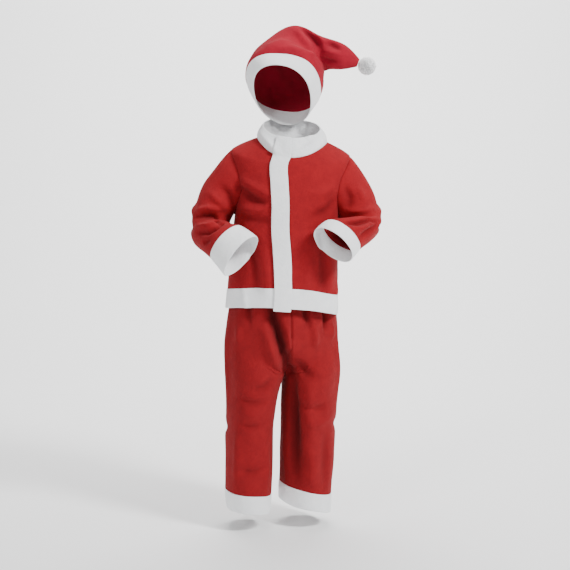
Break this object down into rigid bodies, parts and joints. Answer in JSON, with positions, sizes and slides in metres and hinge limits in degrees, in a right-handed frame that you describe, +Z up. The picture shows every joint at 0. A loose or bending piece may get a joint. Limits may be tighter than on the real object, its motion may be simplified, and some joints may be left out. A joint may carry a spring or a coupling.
{
  "type": "santa suit",
  "caption": "Red fleece santa suit with white trim: a hat with a pompom, a jacket and trousers, hollow and shaped as if worn.",
  "frame": {"origin": "centre of the jacket's neck opening, where the suit is held by the neck and shoulders inside it", "axes": "+Z up along the standing body, -Y towards the front of the suit, +X towards the viewer's right"},
  "size_m": [0.3789, 0.2374, 0.98],
  "materials": {
    "red_fleece": "matt brushed fleece",
    "white_fleece": "matt brushed fleece"
  },
  "bodies": {
    "root": {"hat_front": "red_fleece", "hat_back": "red_fleece", "jacket_front_left": "red_fleece", "jacket_front_right": "red_fleece", "jacket_back": "red_fleece", "sleeve_left": "red_fleece", "sleeve_right": "red_fleece", "trouser_front_left": "red_fleece", "trouser_front_right": "red_fleece", "trouser_back_left": "red_fleece", "trouser_back_right": "red_fleece", "trouser_waist": "red_fleece", "hat_band": "white_fleece", "hat_pompom": "white_fleece", "jacket_collar": "white_fleece", "jacket_placket": "white_fleece", "jacket_hem_band": "white_fleece", "sleeve_cuff_left": "white_fleece", "sleeve_cuff_right": "white_fleece", "trouser_cuff_left": "white_fleece", "trouser_cuff_right": "white_fleece"}
  },
  "joints": []
}
